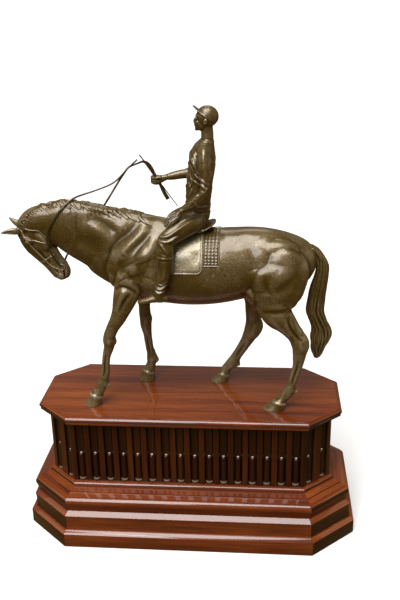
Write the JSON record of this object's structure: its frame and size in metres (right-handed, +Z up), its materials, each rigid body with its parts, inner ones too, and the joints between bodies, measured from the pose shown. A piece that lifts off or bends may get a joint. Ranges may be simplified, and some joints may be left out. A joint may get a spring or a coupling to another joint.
{
  "type": "jockey and horse statue",
  "caption": "Patinated bronze statue of a walking racehorse with a mounted jockey, reins and whip, on a stepped octagonal mahogany plinth with a fluted frieze.",
  "frame": {"origin": "centre of the plinth's underside", "axes": "+Z up; the horse faces -X, +X towards its tail; -Y is the horse's near (left) side, which the picture shows, +Y its far side"},
  "size_m": [0.4947, 0.2228, 0.6091],
  "materials": {
    "bronze": "olive-brown patinated cast bronze with polished highlights",
    "dark_bronze": "dark brown patinated bronze strip",
    "mahogany": "high-gloss lacquered red-brown mahogany"
  },
  "bodies": {
    "root": {"horse_and_jockey": "bronze", "rein_near": "dark_bronze", "rein_far": "dark_bronze", "whip": "dark_bronze", "plinth_top_board": "mahogany", "plinth_cove": "mahogany", "plinth_frieze": "mahogany", "plinth_base_upper": "mahogany", "plinth_base_middle": "mahogany", "plinth_base_lower": "mahogany"}
  },
  "joints": []
}
